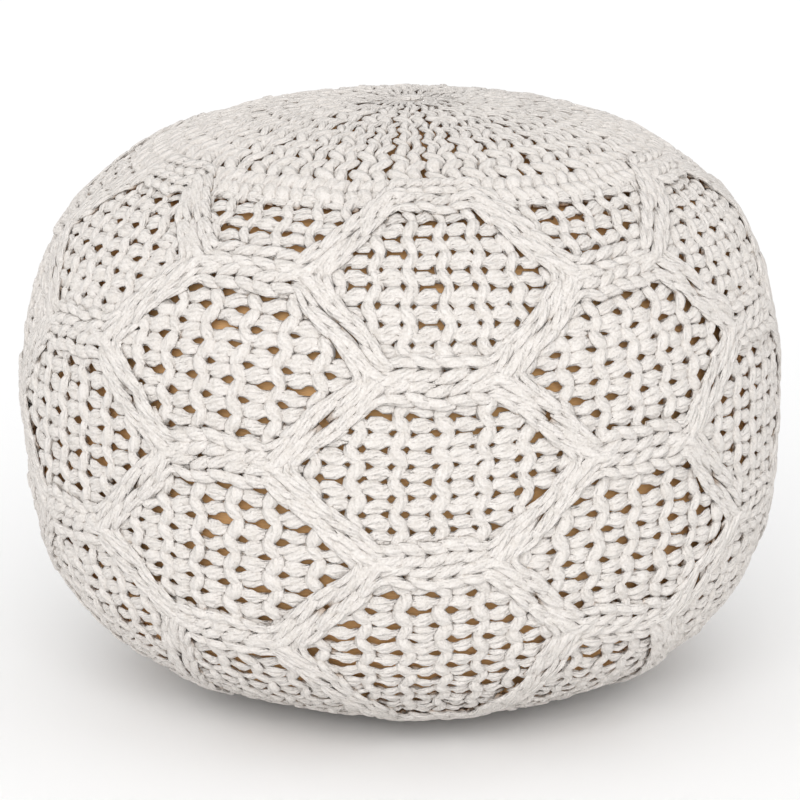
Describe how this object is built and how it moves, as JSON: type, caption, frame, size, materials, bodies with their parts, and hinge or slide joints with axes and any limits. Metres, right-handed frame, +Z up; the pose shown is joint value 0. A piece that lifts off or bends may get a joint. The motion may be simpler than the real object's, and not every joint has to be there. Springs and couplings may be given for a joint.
{
  "type": "knitted pouf",
  "caption": "Round knitted cotton floor pouf with raised cables that frame six-sided rib panels, over a filled cloth casing; used as a footrest or low seat.",
  "frame": {"origin": "centre of the flat base, on the surface that the pouf stands on", "axes": "+Z up along the pouf's axis, -Y towards the front that the picture shows, +X to the right of that front"},
  "size_m": [0.5, 0.4974, 0.385],
  "materials": {
    "cotton_cord": "matte cream cotton cord, knitted",
    "casing_cloth": "matte tan woven cloth"
  },
  "bodies": {
    "root": {"knit_cover": "cotton_cord", "inner_casing": "casing_cloth"}
  },
  "joints": []
}
